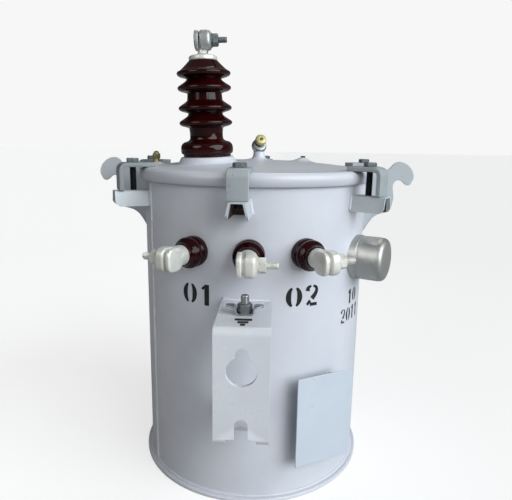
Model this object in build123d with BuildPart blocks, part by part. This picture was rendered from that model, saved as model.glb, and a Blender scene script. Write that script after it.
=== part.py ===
from build123d import *
import os
from collections import namedtuple
from math import cos, hypot, radians, sin, sqrt

# Pole mounted single-phase distribution transformer, in millimetres.
# The origin is the centre of the tank's base and +Z is up.
# The hanger bracket points along -Y, and azimuths grow from there towards +X.
# An "out" is measured outwards from the tank's wall, a "drop" down from the tank's rim.

# Tank, bottom and gasket
TANK_RADIUS = 200.0
TANK_WALL = 3.0
TANK_TOP = 534.0
BOTTOM_THICKNESS = 6.0
BOTTOM_OVERHANG = 9.0
GASKET_THICKNESS = 8.0
GASKET_WIDTH = 12.0
FIT_GAP = 0.3

# Pressed cover with its rolled lip
COVER_SHEET = 3.0
COVER_GAP = 7.0
LIP_DROP = 12.0
LIP_ROUND = 10.0
RIM_WIDTH = 24.0
DOME_RISE = 12.0

# High-voltage bushing, heights measured along its axis from the seat
HV_X = -80.7
HV_Y = -63.0
HV_SEAT_RISE = 18.0
HV_LEAN = 2.8
HV_PAD_RADIUS = 45.0
HV_PAD_TAPER = 25.0
HV_SHANK_RADIUS = 24.0
HV_SHANK_LENGTH = 30.0
HV_FOOT_RADIUS = 40.5
HV_FOOT_HEIGHT = 4.0
HV_FLANGE_RADIUS = 44.0
HV_FLANGE_HEIGHT = 25.0
HV_FLANGE_ROUND = 9.0
HV_CORE_RADIUS = 28.7
HV_SHED_RADIUS = 44.5
HV_SHED_HEIGHTS = (56.0, 80.0, 112.0, 135.0)
HV_SHED_UNDERCUT = 8.0
HV_SHED_EDGE = 2.5
HV_SHED_SLOPE = 14.0
HV_CAP_RADIUS = 23.0
HV_CAP_HEIGHT = 8.0
HV_NECK_HEIGHT = 21.0

# Low-voltage bushings on the tank's front
LV_PITCH = 25.3
LV_DROP = 112.0
LV_RADIUS = 24.0
LV_WAIST_RADIUS = 20.0
LV_LENGTH = 22.0
LV_BEAD = 10.0
LV_BEAD_ROUND = 2.5
LV_FRONT_RADIUS = 21.5
LV_BORE_RADIUS = 14.0
LV_SHANK_LENGTH = 8.0

# Eyebolt terminals: a stem carries a barrel with a groove for the lead, and a nut
# and screw stick out of the barrel's end
Terminal = namedtuple(
    "Terminal",
    "stem stem_length barrel length disc groove nut nut_height screw reach",
)
HV_TERMINAL = Terminal(
    stem=7.5, stem_length=8.0, barrel=17.0, length=28.0, disc=8.0, groove=3.0,
    nut=18.0, nut_height=11.0, screw=5.0, reach=14.0,
)
LV_TERMINAL = Terminal(
    stem=15.5, stem_length=28.0, barrel=19.0, length=29.0, disc=8.5, groove=3.5,
    nut=20.0, nut_height=12.5, screw=5.5, reach=17.0,
)
BARREL_ROUND = 2.5
BARREL_SINK = 1.0
GROOVE_DEPTH = 0.3

# Hanger bracket
BRACKET_SHIFT = -2.5
BRACKET_WIDTH = 77.0
BRACKET_PLATE = 6.0
BRACKET_OUT = 122.0
BRACKET_DROP = 184.0
BRACKET_HEIGHT = 170.5
BRACKET_BEND = 8.0
KEY_DROP = 36.0
KEY_SHANK = 17.5
KEY_HEAD = 42.5
KEY_LENGTH = 24.5
SLOT_RISE = 31.5
SLOT_WIDTH = 18.5
NOTCH_WIDTH = 42.0
NOTCH_RISE = 10.0
NOTCH_DEPTH = 40.0

# Ground terminal on the bracket's upper shelf
GROUND_OUT = 62.0
GROUND_STUD_RADIUS = 6.0
GROUND_STUD_RISE = 28.0
GROUND_NUT_WIDTH = 19.0
GROUND_NUT_HEIGHT = 13.0
GROUND_CLIP_WIDTH = 18.0
GROUND_CLIP_FLAT = 22.0
GROUND_CLIP_LENGTH = 54.0
GROUND_CLIP_RISE = 12.0
GROUND_CLIP_PLATE = 3.0
GROUND_CLIP_BEND = 4.0

# Six cover clamps round the rim, with the lugs that they pull on
CLAMPS = {
    "front": -3.5,
    "right": 56.5,
    "rear_right": 109.5,
    "rear": 176.5,
    "rear_left": 250.0,
    "left": 296.5,
}
LUG_DROP = 27.0
LUG_HEIGHT = 26.0
LUG_TOP_WIDTH = 23.0
LUG_FOOT_WIDTH = 32.0
LUG_PLATE = 3.0
LUG_OUT = 57.0
LUG_ROUND = 8.0
STRAP_WIDTH = 32.0
STRAP_PLATE = 7.5
STRAP_OUT = 49.5
STRAP_BEND = 9.0
STRAP_CLEARANCE = 5.0
CLAMP_BOLT_RADIUS = 5.5
CLAMP_BOLT_OUT = 24.3
CLAMP_BOLT_END = 4.0
CLAMP_NUT_WIDTH = 18.0
CLAMP_NUT_HEIGHT = 8.0
CLAMP_HEAD_WIDTH = 14.0

# Lifting hooks on the tank's two sides, as points (out, rise above the tank's rim)
HOOK_PLATE = 6.0
HOOK_FOOT = (3.5, -108.0)
HOOK_FLARE = ((12.0, -91.0), (30.0, -73.0))
HOOK_THROAT = ((50.0, -68.0), (54.5, -55.0), (56.6, -40.0), (53.4, -21.6))
HOOK_THROAT_TOP = (62.8, -9.2)
HOOK_LIP = ((69.0, -11.0), (73.3, -16.0))
HOOK_TIP = ((81.5, -19.0), (90.6, -3.0))
HOOK_CROWN = ((78.0, 18.8), (60.2, 23.9))
HOOK_SADDLE = ((50.5, 18.3), (42.9, 9.2), (28.8, 14.4), (14.0, 17.0), (14.0, -17.0))

# Fittings on the cover
VENT_X = 6.0
VENT_Y = -8.0
VENT_STUB_RADIUS = 10.5
VENT_STUB_RISE = 15.0
VENT_FLARE_RADIUS = 16.0
VENT_FLARE_FOOT = 4.0
VENT_FLARE_HEIGHT = 10.0
VENT_FLARE_TAPER = 25.0
VENT_HEAD_RADIUS = 13.5
VENT_HEAD_RISE = 6.5
VENT_AIM = (0.2, -0.85, 0.48)
VENT_PLUG_RISE = 6.5
VENT_PLUG_RADIUS = 10.0
VENT_PLUG_SEAT = 6.0
VENT_PLUG_REACH = 15.0
VENT_PLUG_BORE = 2.5
Boss = namedtuple("Boss", "azimuth reach rise tip radius height")
BLANK_BOSS = Boss(azimuth=123.7, reach=108.2, rise=16.0, tip=6.0, radius=26.0, height=12.0)
FILLER_BOSS = Boss(azimuth=-75.0, reach=179.4, rise=8.0, tip=8.0, radius=17.0, height=8.0)
BOSS_WAIST = 0.3
FILLER_RADIUS = 6.0
FILLER_HEIGHT = 18.0

# Round cap on the tank's right side
CAP_AZIMUTH = 63.0
CAP_DROP = 135.0
CAP_RADIUS = 37.0
CAP_OUT = 54.0
CAP_ROUND = 11.0
COLLAR_RADIUS = 39.0
COLLAR_OUT = 9.0

# Bare plate on legs, low on the tank
PANEL_AZIMUTH = 27.0
PANEL_SHIFT = 28.0
PANEL_WIDTH = 104.0
PANEL_HEIGHT = 155.0
PANEL_BOTTOM = 70.0
PANEL_STANDOFF = 24.0
PANEL_SHEET = 2.5
PANEL_LEG_SPACING = 56.0
PANEL_LEG_MARGIN = 15.0

cover_seat = TANK_TOP + GASKET_THICKNESS
cover_flat = cover_seat + COVER_SHEET
cover_top = cover_flat + DOME_RISE
lip_radius = TANK_RADIUS + COVER_GAP + COVER_SHEET
lip_bottom = cover_flat - LIP_ROUND - LIP_DROP
dome_radius = lip_radius - RIM_WIDTH
dome_sphere = (dome_radius**2 + DOME_RISE**2) / (2 * DOME_RISE)
dome_centre = (0, 0, cover_top - dome_sphere)
hv_seat = cover_flat + HV_SEAT_RISE
hv_top = HV_SHED_HEIGHTS[-1] + HV_NECK_HEIGHT
lv_azimuths = (-LV_PITCH, 0.0, LV_PITCH)
lv_z = TANK_TOP - LV_DROP
bracket_reach = TANK_RADIUS + BRACKET_OUT
bracket_top = TANK_TOP - BRACKET_DROP
bracket_bottom = bracket_top - BRACKET_HEIGHT
key_z = bracket_top - KEY_DROP
slot_z = bracket_bottom + SLOT_RISE
ground_reach = TANK_RADIUS + GROUND_OUT
strap_rest = dome_radius + STRAP_CLEARANCE
strap_top = cover_flat + STRAP_PLATE
bolt_reach = TANK_RADIUS + CLAMP_BOLT_OUT
lug_reach = TANK_RADIUS + LUG_OUT
lug_top = TANK_TOP - LUG_DROP


def outward(azimuth):
    """The level direction away from the axis at an azimuth."""
    return Vector(sin(radians(azimuth)), -cos(radians(azimuth)), 0)


def across(azimuth):
    """The level direction along the tank's side at an azimuth."""
    return Vector(cos(radians(azimuth)), sin(radians(azimuth)), 0)


def wall_plane(azimuth, height, reach=TANK_RADIUS):
    """A plane facing outwards: its x runs along the wall and its y upwards."""
    origin = outward(azimuth) * reach + Vector(0, 0, height)
    return Plane(origin=origin, x_dir=across(azimuth), z_dir=outward(azimuth))


def cut_plane(azimuth):
    """A vertical plane through the axis: its x is the reach and its y the height."""
    return Plane(origin=(0, 0, 0), x_dir=outward(azimuth), z_dir=across(azimuth) * -1)


def level_plane(azimuth, reach, height):
    """A level plane at a reach from the axis: its x points outwards."""
    origin = outward(azimuth) * reach + Vector(0, 0, height)
    return Plane(origin=origin, x_dir=outward(azimuth), z_dir=(0, 0, 1))


def clear_tank():
    """Cuts a piece back to a hair's gap from the tank's wall."""
    Cylinder(TANK_RADIUS + FIT_GAP, 2 * TANK_TOP, mode=Mode.SUBTRACT)


def clear_dome():
    """Cuts a piece back to a hair's gap from the cover's dome."""
    with Locations(dome_centre):
        Sphere(dome_sphere + FIT_GAP, mode=Mode.SUBTRACT)


def save(piece, name):
    """Labels a finished piece and writes its file."""
    piece.part.label = name
    export_step(piece.part, f"parts/{name}.step")


def cover_section(inset):
    """Half section of the cover's skin, moved inwards by inset and closed to the axis."""
    flat = cover_flat - inset
    edge = lip_radius - inset
    middle = dome_radius / 2
    middle_rise = sqrt(dome_sphere**2 - middle**2) - (dome_sphere - DOME_RISE)
    corner = LIP_ROUND - inset
    with BuildSketch(Plane.XZ) as section:
        with BuildLine():
            Polyline((edge, flat - corner), (edge, lip_bottom), (0, lip_bottom))
            Line((0, lip_bottom), (0, flat + DOME_RISE))
            ThreePointArc((0, flat + DOME_RISE), (middle, flat + middle_rise), (dome_radius, flat))
            Line((dome_radius, flat), (edge - corner, flat))
            RadiusArc((edge - corner, flat), (edge, flat - corner), corner)
        make_face()
    return section.sketch


def tank():
    """Bottom plate, rolled shell and the gasket on the shell's rim."""
    with BuildPart() as bottom:
        with BuildSketch():
            Circle(TANK_RADIUS + BOTTOM_OVERHANG)
        extrude(amount=BOTTOM_THICKNESS)
        fillet(bottom.edges().group_by(Axis.Z)[-1], BOTTOM_THICKNESS / 3)
    save(bottom, "tank_bottom")

    with BuildPart() as wall:
        with BuildSketch(Plane.XY.offset(BOTTOM_THICKNESS)):
            Circle(TANK_RADIUS)
            Circle(TANK_RADIUS - TANK_WALL, mode=Mode.SUBTRACT)
        extrude(amount=TANK_TOP - BOTTOM_THICKNESS)
        for azimuth in lv_azimuths:
            with BuildSketch(wall_plane(azimuth, lv_z)):
                Circle(LV_BORE_RADIUS + FIT_GAP)
            extrude(amount=-3 * TANK_WALL, mode=Mode.SUBTRACT)
    save(wall, "tank_wall")

    with BuildPart() as gasket:
        with BuildSketch(Plane.XY.offset(TANK_TOP)):
            Circle(TANK_RADIUS)
            Circle(TANK_RADIUS - GASKET_WIDTH, mode=Mode.SUBTRACT)
        extrude(amount=GASKET_THICKNESS)
    save(gasket, "cover_gasket")


def hv_direction():
    """The high-voltage bushing's axis: it leans away from the cover's middle."""
    reach = hypot(HV_X, HV_Y)
    lean = sin(radians(HV_LEAN))
    return Vector(lean * HV_X / reach, lean * HV_Y / reach, cos(radians(HV_LEAN)))


def hv_plane(height=0.0):
    """A plane square to the bushing's axis at a height above its seat."""
    origin = Vector(HV_X, HV_Y, hv_seat) + hv_direction() * height
    return Plane(origin=origin, x_dir=Vector(0, 1, 0).cross(hv_direction()), z_dir=hv_direction())


def hv_section():
    """A plane along the bushing's axis: its x is the radius and its y the height."""
    square = hv_plane()
    return Plane(origin=square.origin, x_dir=square.x_dir, z_dir=square.x_dir.cross(square.z_dir))


def boss_section(boss):
    """Half section of a boss pressed up in the cover, with a hollow flare."""
    top = cover_flat + boss.rise
    foot = top - boss.height
    root = foot - BLANK_BOSS.height
    waist = (boss.tip + (boss.radius - boss.tip) * BOSS_WAIST, top - boss.height / 2)
    middle = outward(boss.azimuth) * boss.reach
    with BuildSketch(Plane(origin=middle, x_dir=(1, 0, 0), z_dir=(0, -1, 0))) as section:
        with BuildLine():
            Polyline((0, foot), (0, top), (boss.tip, top))
            ThreePointArc((boss.tip, top), waist, (boss.radius, foot))
            Polyline((boss.radius, foot), (boss.radius, root), (0, root), (0, foot))
        make_face()
    return section.sketch


def cover():
    """Pressed cover: shallow dome, flat rim, rolled lip, bushing pad and bosses."""
    with BuildPart() as lid:
        revolve(cover_section(0), axis=Axis.Z)
        with BuildSketch(hv_plane()):
            Circle(HV_PAD_RADIUS)
        extrude(amount=-HV_SEAT_RISE, taper=-HV_PAD_TAPER)
        for boss in (BLANK_BOSS, FILLER_BOSS):
            revolve(boss_section(boss), axis=Axis(outward(boss.azimuth) * boss.reach, (0, 0, 1)))
        revolve(cover_section(COVER_SHEET), axis=Axis.Z, mode=Mode.SUBTRACT)
        with BuildSketch(hv_plane()):
            Circle(HV_SHANK_RADIUS + FIT_GAP)
        extrude(amount=-HV_SHANK_LENGTH, mode=Mode.SUBTRACT)
    save(lid, "tank_cover")


def eyebolt(base, side, size, name):
    """An eyebolt terminal on a plane: stem, grooved barrel, nut and screw in one solid.

    The screw points along the plane's x, or against it where side is -1.
    """
    aim = base.x_dir * side
    middle = base.origin + base.z_dir * (size.stem_length + size.barrel - BARREL_SINK)
    start = middle - aim * (size.length / 2)
    section = Plane(origin=start, x_dir=aim, z_dir=aim.cross(base.z_dir))
    nut_plane = Plane(origin=start + aim * size.length, x_dir=base.z_dir, z_dir=aim)
    lip = size.barrel - BARREL_ROUND
    neck = size.barrel * (1 - GROOVE_DEPTH)
    body = size.disc + size.groove
    with BuildPart() as terminal:
        with BuildSketch(section):
            with BuildLine():
                Polyline(
                    (0, 0),
                    (0, lip),
                    (BARREL_ROUND, size.barrel),
                    (size.disc - BARREL_ROUND, size.barrel),
                    (size.disc, lip),
                    (size.disc, neck),
                    (body, neck),
                    (body, lip),
                    (body + BARREL_ROUND, size.barrel),
                    (size.length - 2 * BARREL_ROUND, size.barrel),
                    (size.length, lip - BARREL_ROUND),
                    (size.length, 0),
                    close=True,
                )
            make_face()
        revolve(axis=Axis(start, aim))
        with BuildSketch(base):
            Circle(size.stem)
        extrude(amount=size.stem_length + size.barrel / 2)
        with BuildSketch(nut_plane):
            RegularPolygon(size.nut / 2, 6, major_radius=False)
        extrude(amount=size.nut_height)
        with BuildSketch(nut_plane):
            Circle(size.screw)
        extrude(amount=size.nut_height + size.reach)
    save(terminal, name)


def hv_bushing():
    """Glazed porcelain with four sheds, its metal cap, terminal and screw."""
    section = hv_section()
    axis = Axis(section.origin, hv_direction())
    edge = HV_SHED_RADIUS - HV_SHED_EDGE
    flange_start = (HV_CORE_RADIUS, HV_FLANGE_HEIGHT)
    shoulder = HV_FLANGE_RADIUS - HV_FLANGE_ROUND * 0.7
    with BuildPart() as porcelain:
        with BuildSketch(section):
            with BuildLine():
                Polyline(
                    flange_start,
                    (shoulder, HV_FLANGE_HEIGHT - HV_FLANGE_ROUND * 0.2),
                    (HV_FLANGE_RADIUS, HV_FLANGE_HEIGHT - HV_FLANGE_ROUND),
                    (HV_FLANGE_RADIUS, HV_FOOT_HEIGHT * 1.5),
                    (HV_FOOT_RADIUS, HV_FOOT_HEIGHT),
                    (HV_FOOT_RADIUS, 0),
                    (HV_SHANK_RADIUS, 0),
                    (HV_SHANK_RADIUS, -HV_SHANK_LENGTH),
                    (0, -HV_SHANK_LENGTH),
                    (0, hv_top),
                    (HV_CAP_RADIUS, hv_top),
                )
                last = (HV_CAP_RADIUS, hv_top)
                for height in reversed(HV_SHED_HEIGHTS):
                    upper = (edge, height + HV_SHED_EDGE)
                    lower = (edge, height - HV_SHED_EDGE)
                    foot = (HV_CORE_RADIUS, height - HV_SHED_UNDERCUT)
                    Line(last, upper)
                    ThreePointArc(upper, (HV_SHED_RADIUS, height), lower)
                    Line(lower, foot)
                    last = foot
                    if height != HV_SHED_HEIGHTS[0]:
                        below = max(h for h in HV_SHED_HEIGHTS if h < height)
                        last = (HV_CORE_RADIUS, below + HV_SHED_SLOPE)
                        if foot != last:
                            Line(foot, last)
                Line(last, flange_start)
            make_face()
        revolve(axis=axis)
    save(porcelain, "hv_bushing")

    with BuildPart() as cap:
        with BuildSketch(hv_plane(hv_top)):
            Circle(HV_CAP_RADIUS)
        extrude(amount=HV_CAP_HEIGHT)
        fillet(cap.edges().sort_by(Axis.Z)[-1], HV_CAP_HEIGHT / 2)
    save(cap, "hv_cap")
    eyebolt(hv_plane(hv_top + HV_CAP_HEIGHT), 1, HV_TERMINAL, "hv_terminal")


def lv_bushing(number, azimuth, side):
    """A short porcelain that seats on the tank's side, with its eyebolt terminal."""
    top = lv_z + LV_RADIUS
    waist = lv_z + LV_WAIST_RADIUS
    front = lv_z + LV_FRONT_RADIUS
    face = TANK_RADIUS + LV_LENGTH
    start = TANK_RADIUS - TANK_WALL
    inner = start - LV_SHANK_LENGTH
    bead = TANK_RADIUS + LV_BEAD
    collar = bead + LV_BEAD_ROUND
    axis = Axis(outward(azimuth) * TANK_RADIUS + Vector(0, 0, lv_z), outward(azimuth))
    with BuildPart() as porcelain:
        with BuildSketch(cut_plane(azimuth)):
            with BuildLine():
                Polyline(
                    (start, lv_z),
                    (start, top),
                    (bead - LV_BEAD_ROUND, top),
                    (bead, top - LV_BEAD_ROUND),
                    (bead, waist),
                    (collar, waist),
                    (collar, front - LV_BEAD_ROUND / 2),
                    (collar + LV_BEAD_ROUND / 2, front),
                    (face - LV_BEAD_ROUND, front),
                    (face, front - LV_BEAD_ROUND),
                    (face, lv_z),
                    close=True,
                )
            make_face()
        revolve(axis=axis)
        clear_tank()
        with BuildSketch(wall_plane(azimuth, lv_z, inner)):
            Circle(LV_BORE_RADIUS)
        extrude(amount=bead - inner)
    save(porcelain, f"lv_bushing_{number}")
    eyebolt(wall_plane(azimuth, lv_z, face), side, LV_TERMINAL, f"lv_terminal_{number}")


def hanger_bracket():
    """C-shaped plate on the tank's front, with a keyhole above and an open slot below."""
    reach = bracket_reach - BRACKET_PLATE / 2
    upper = bracket_top - BRACKET_PLATE / 2
    lower = bracket_bottom + BRACKET_PLATE / 2
    root = TANK_RADIUS * 0.9
    corners = ((root, upper), (reach, upper), (reach, lower), (root, lower))
    with BuildPart() as bracket:
        with BuildSketch(cut_plane(0).offset(-BRACKET_SHIFT)):
            with BuildLine():
                bent = FilletPolyline(*corners, radius=BRACKET_BEND)
            trace(bent, line_width=BRACKET_PLATE)
        extrude(amount=BRACKET_WIDTH / 2, both=True)
        clear_tank()
        with BuildSketch(wall_plane(0, 0, bracket_reach)):
            with Locations((BRACKET_SHIFT, key_z)):
                Circle(KEY_SHANK / 2)
            with Locations((BRACKET_SHIFT, key_z - KEY_LENGTH / 2)):
                Rectangle(KEY_SHANK, KEY_LENGTH)
            with Locations((BRACKET_SHIFT, key_z - KEY_LENGTH)):
                Circle(KEY_HEAD / 2)
            with Locations((BRACKET_SHIFT, slot_z)):
                Circle(SLOT_WIDTH / 2)
                Rectangle(SLOT_WIDTH, SLOT_RISE, align=(Align.CENTER, Align.MAX))
        extrude(amount=-2 * BRACKET_PLATE, mode=Mode.SUBTRACT)
        with BuildSketch(wall_plane(0, 0, bracket_reach)):
            with Locations((BRACKET_SHIFT, bracket_bottom)):
                Rectangle(NOTCH_WIDTH, 2 * NOTCH_RISE)
        extrude(amount=-NOTCH_DEPTH, mode=Mode.SUBTRACT)
        with BuildSketch(level_plane(0, ground_reach, bracket_top)):
            Circle(GROUND_STUD_RADIUS + FIT_GAP)
        extrude(amount=-2 * BRACKET_PLATE, mode=Mode.SUBTRACT)
    save(bracket, "hanger_bracket")


def ground_terminal():
    """Stud and nut on the bracket's upper shelf, clamping a clip with raised wings."""
    tip = (GROUND_CLIP_LENGTH / 2, GROUND_CLIP_RISE)
    bend = (GROUND_CLIP_FLAT / 2, GROUND_CLIP_PLATE / 2)
    leaf = ((-tip[0], tip[1]), (-bend[0], bend[1]), bend, tip)
    with BuildPart() as clip:
        with BuildSketch(wall_plane(0, bracket_top, ground_reach)):
            with BuildLine():
                bent = FilletPolyline(*leaf, radius=GROUND_CLIP_BEND)
            trace(bent, line_width=GROUND_CLIP_PLATE)
        extrude(amount=GROUND_CLIP_WIDTH / 2, both=True)
        with BuildSketch(level_plane(0, ground_reach, bracket_top)):
            Circle(GROUND_STUD_RADIUS + FIT_GAP)
        extrude(amount=GROUND_CLIP_RISE, mode=Mode.SUBTRACT)
    save(clip, "ground_clip")
    with BuildPart() as stud:
        with BuildSketch(level_plane(0, ground_reach, bracket_top + GROUND_CLIP_PLATE)):
            RegularPolygon(GROUND_NUT_WIDTH / 2, 6, major_radius=False)
        extrude(amount=GROUND_NUT_HEIGHT)
        with BuildSketch(level_plane(0, ground_reach, bracket_top - BRACKET_PLATE)):
            Circle(GROUND_STUD_RADIUS)
        extrude(amount=BRACKET_PLATE + GROUND_STUD_RISE)
        with BuildSketch(level_plane(0, ground_reach, bracket_top - BRACKET_PLATE)):
            RegularPolygon(GROUND_NUT_WIDTH / 2, 6, major_radius=False)
        extrude(amount=-GROUND_NUT_HEIGHT / 2)
    save(stud, "ground_stud")


def lug_outline(inset):
    """Half of a lug's end, as points across and above its foot, moved in by inset."""
    foot = LUG_FOOT_WIDTH / 2 - inset
    top = LUG_TOP_WIDTH / 2 - inset
    return [(-foot, 0), (-top, LUG_HEIGHT - inset), (top, LUG_HEIGHT - inset), (foot, 0)]


def cover_clamp(name, azimuth):
    """A lug on the tank, a bent strap over the cover's rim and the bolt between them."""
    root = lug_reach - TANK_RADIUS * 0.9
    with BuildPart() as lug:
        with BuildSketch(wall_plane(azimuth, lug_top - LUG_HEIGHT, lug_reach)):
            with BuildLine():
                Polyline(lug_outline(0), close=True)
            make_face()
            with BuildLine():
                Polyline(lug_outline(LUG_PLATE), close=True)
            make_face(mode=Mode.SUBTRACT)
        extrude(amount=-root)
        clear_tank()
        with BuildSketch(cut_plane(azimuth)):
            with BuildLine():
                Polyline(
                    (lug_reach - LUG_ROUND, lug_top - LUG_HEIGHT),
                    (lug_reach, lug_top - LUG_HEIGHT + LUG_ROUND),
                    (lug_reach, lug_top - LUG_HEIGHT),
                    close=True,
                )
            make_face()
        extrude(amount=LUG_FOOT_WIDTH, both=True, mode=Mode.SUBTRACT)
        with BuildSketch(level_plane(azimuth, bolt_reach, lug_top)):
            Circle(CLAMP_BOLT_RADIUS + FIT_GAP)
        extrude(amount=-2 * LUG_PLATE, mode=Mode.SUBTRACT)
    save(lug, f"clamp_lug_{name}")

    upper = strap_top - STRAP_PLATE / 2
    reach = TANK_RADIUS + STRAP_OUT - STRAP_PLATE / 2
    corners = ((strap_rest, upper), (reach, upper), (reach, lug_top))
    with BuildPart() as strap:
        with BuildSketch(cut_plane(azimuth)):
            with BuildLine():
                bent = FilletPolyline(*corners, radius=STRAP_BEND)
            trace(bent, line_width=STRAP_PLATE)
        extrude(amount=STRAP_WIDTH / 2, both=True)
        with BuildSketch(level_plane(azimuth, bolt_reach, cover_flat)):
            Circle(CLAMP_BOLT_RADIUS + FIT_GAP)
        extrude(amount=2 * STRAP_PLATE, mode=Mode.SUBTRACT)
    save(strap, f"cover_clamp_{name}")

    with BuildPart() as bolt:
        with BuildSketch(level_plane(azimuth, bolt_reach, strap_top)):
            RegularPolygon(CLAMP_NUT_WIDTH / 2, 6, major_radius=False)
        extrude(amount=CLAMP_NUT_HEIGHT)
        with BuildSketch(level_plane(azimuth, bolt_reach, lug_top - LUG_PLATE)):
            RegularPolygon(CLAMP_HEAD_WIDTH / 2, 6, major_radius=False)
        extrude(amount=-CLAMP_NUT_HEIGHT)
        with BuildSketch(level_plane(azimuth, bolt_reach, strap_top)):
            Circle(CLAMP_BOLT_RADIUS)
        extrude(amount=-(strap_top - lug_top + LUG_PLATE + CLAMP_NUT_HEIGHT + CLAMP_BOLT_END))
    save(bolt, f"clamp_bolt_{name}")


def lifting_hook(name, side):
    """A flat hook plate on the tank's side, with a gusset below and an open throat."""
    rim = Plane(origin=(side * TANK_RADIUS, 0, TANK_TOP), x_dir=(side, 0, 0), z_dir=(0, -side, 0))
    inside = -TANK_WALL * 3
    start = (inside, HOOK_FOOT[1])
    with BuildPart() as hook:
        with BuildSketch(rim):
            with BuildLine():
                Line(start, HOOK_FOOT)
                ThreePointArc(HOOK_FOOT, *HOOK_FLARE)
                Polyline(HOOK_FLARE[-1], *HOOK_THROAT)
                TangentArc(HOOK_THROAT[-1], HOOK_THROAT_TOP, tangent=(0, 1))
                ThreePointArc(HOOK_THROAT_TOP, *HOOK_LIP)
                ThreePointArc(HOOK_LIP[-1], *HOOK_TIP)
                ThreePointArc(HOOK_TIP[-1], *HOOK_CROWN)
                Polyline(HOOK_CROWN[-1], *HOOK_SADDLE, (inside, HOOK_SADDLE[-1][1]), start)
            make_face()
        extrude(amount=HOOK_PLATE / 2, both=True)
        clear_tank()
    save(hook, f"lifting_hook_{name}")


def cover_fittings():
    """The vent on its stub and the small brass filler plug."""
    stub_top = cover_top + VENT_STUB_RISE
    with BuildPart() as stub:
        with BuildSketch(Plane((VENT_X, VENT_Y, stub_top))):
            Circle(VENT_STUB_RADIUS)
        extrude(amount=-(stub_top - cover_flat))
        with BuildSketch(Plane((VENT_X, VENT_Y, cover_top - VENT_FLARE_FOOT))):
            Circle(VENT_FLARE_RADIUS)
        extrude(amount=VENT_FLARE_HEIGHT, taper=VENT_FLARE_TAPER)
        clear_dome()
    save(stub, "vent_stub")

    head_centre = Vector(VENT_X, VENT_Y, stub_top + VENT_HEAD_RISE)
    aim = Vector(*VENT_AIM).normalized()
    plug_root = head_centre + Vector(0, 0, VENT_PLUG_RISE)
    seat = Plane(origin=plug_root + aim * VENT_PLUG_SEAT, z_dir=aim)
    with BuildPart() as head:
        with Locations(head_centre):
            Sphere(VENT_HEAD_RADIUS)
        with Locations((VENT_X, VENT_Y, stub_top)):
            Cylinder(
                2 * VENT_HEAD_RADIUS,
                2 * VENT_HEAD_RADIUS,
                align=(Align.CENTER, Align.CENTER, Align.MAX),
                mode=Mode.SUBTRACT,
            )
        with BuildSketch(seat):
            Circle(2 * VENT_HEAD_RADIUS)
        extrude(amount=2 * VENT_HEAD_RADIUS, mode=Mode.SUBTRACT)
    save(head, "vent_head")
    with BuildPart() as plug:
        with BuildSketch(seat):
            Circle(VENT_PLUG_RADIUS)
            Circle(VENT_PLUG_BORE, mode=Mode.SUBTRACT)
        extrude(amount=VENT_PLUG_REACH - VENT_PLUG_SEAT)
    save(plug, "vent_plug")

    with BuildPart() as filler:
        boss_top = cover_flat + FILLER_BOSS.rise
        with BuildSketch(level_plane(FILLER_BOSS.azimuth, FILLER_BOSS.reach, boss_top)):
            RegularPolygon(FILLER_RADIUS, 6, major_radius=False)
        extrude(amount=FILLER_HEIGHT)
    save(filler, "filler_plug")


def side_cap():
    """Round closed cap on a collar, on the tank's right side."""
    height = TANK_TOP - CAP_DROP
    seat = wall_plane(CAP_AZIMUTH, height, TANK_RADIUS + COLLAR_OUT)
    with BuildPart() as collar:
        with BuildSketch(seat):
            Circle(COLLAR_RADIUS)
        extrude(amount=-COLLAR_RADIUS / 2)
        clear_tank()
    save(collar, "side_cap_collar")
    with BuildPart() as cap:
        with BuildSketch(seat):
            Circle(CAP_RADIUS)
        extrude(amount=CAP_OUT - COLLAR_OUT)
        far = cap.faces().sort_by(Axis((0, 0, 0), outward(CAP_AZIMUTH)))[-1]
        fillet(far.edges(), CAP_ROUND)
    save(cap, "side_cap")


def side_panel():
    """A bare flat plate that stands off the tank on two legs."""
    plate = wall_plane(PANEL_AZIMUTH, PANEL_BOTTOM + PANEL_HEIGHT / 2, TANK_RADIUS + PANEL_STANDOFF)
    with BuildPart() as panel:
        with BuildSketch(plate):
            with Locations((PANEL_SHIFT, 0)):
                Rectangle(PANEL_WIDTH, PANEL_HEIGHT)
        extrude(amount=-PANEL_SHEET)
        with BuildSketch(plate):
            with Locations((PANEL_SHIFT, 0)):
                with GridLocations(PANEL_LEG_SPACING, 0, 2, 1):
                    Rectangle(PANEL_SHEET, PANEL_HEIGHT - 2 * PANEL_LEG_MARGIN)
        extrude(amount=-2 * PANEL_STANDOFF)
        clear_tank()
    save(panel, "side_panel")


os.makedirs("parts", exist_ok=True)
tank()
cover()
hv_bushing()
for number, azimuth, side in zip((1, 2, 3), lv_azimuths, (-1, 1, 1)):
    lv_bushing(number, azimuth, side)
hanger_bracket()
ground_terminal()
for name, azimuth in CLAMPS.items():
    cover_clamp(name, azimuth)
lifting_hook("right", 1)
lifting_hook("left", -1)
cover_fittings()
side_cap()
side_panel()
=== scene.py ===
"""Looks for a pole mounted single-phase transformer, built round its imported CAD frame.

Lengths are millimetres until a mesh is made, apart from the camera, floor and lamps, which
are set in metres. The tank's axis is Z, the hanger bracket points along -Y, and azimuths
grow from there towards +X.
"""
from collections import namedtuple
from math import cos, pi, radians, sin

import bmesh
import bpy
import numpy as np
from mathutils import Matrix


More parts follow.
